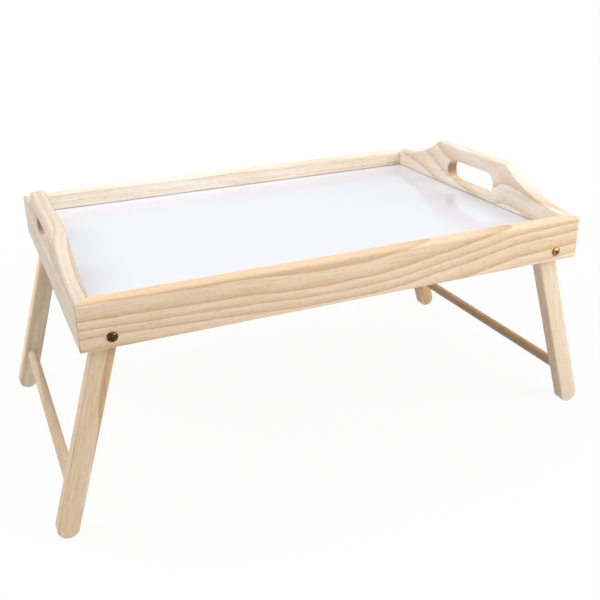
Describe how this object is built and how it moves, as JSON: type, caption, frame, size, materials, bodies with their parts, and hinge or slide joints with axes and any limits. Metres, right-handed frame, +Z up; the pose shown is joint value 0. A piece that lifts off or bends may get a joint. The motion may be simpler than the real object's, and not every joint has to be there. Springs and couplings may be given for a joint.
{
  "type": "bed tray table",
  "caption": "Bed tray table: a mitred pine tray with a white laminated floor and raised handles with hand holes, on leg frames that fold flat underneath.",
  "frame": {"origin": "on the floor under the middle of the tray, with the legs open", "axes": "+X along the tray's length towards the right handle, +Y towards the back, +Z up"},
  "size_m": [0.5784, 0.3534, 0.2592],
  "materials": {
    "pine_board": "clear satin lacquer",
    "pine_leg": "clear satin lacquer",
    "white_laminate": "semi-gloss melamine laminate",
    "hardboard": "bare tempered hardboard",
    "antique_brass": "antique brass plate, worn bright at the edges",
    "zinc_steel": "zinc plated"
  },
  "bodies": {
    "tray": {"front_rail": "pine_board", "back_rail": "pine_board", "left_end_board": "pine_board", "right_end_board": "pine_board", "hardboard_floor": "hardboard", "floor_laminate": "white_laminate", "corner_v_nails": "zinc_steel"},
    "left_legs": {"front_left_leg": "pine_leg", "back_left_leg": "pine_leg", "left_stretcher": "pine_leg", "front_left_pivot_screw": "antique_brass", "back_left_pivot_screw": "antique_brass", "front_left_washer": "zinc_steel", "back_left_washer": "zinc_steel"},
    "right_legs": {"front_right_leg": "pine_leg", "back_right_leg": "pine_leg", "right_stretcher": "pine_leg", "front_right_pivot_screw": "antique_brass", "back_right_pivot_screw": "antique_brass", "front_right_washer": "zinc_steel", "back_right_washer": "zinc_steel"}
  },
  "joints": [
    {"name": "left_leg_fold", "type": "hinge", "parent": "tray", "child": "left_legs", "pos_m": [-0.22312, 0, 0.19572], "axis": [0, -1, 0], "range_deg": [0, 107]},
    {"name": "right_leg_fold", "type": "hinge", "parent": "tray", "child": "right_legs", "pos_m": [0.22312, 0, 0.19572], "axis": [0, 1, 0], "range_deg": [0, 107]}
  ]
}
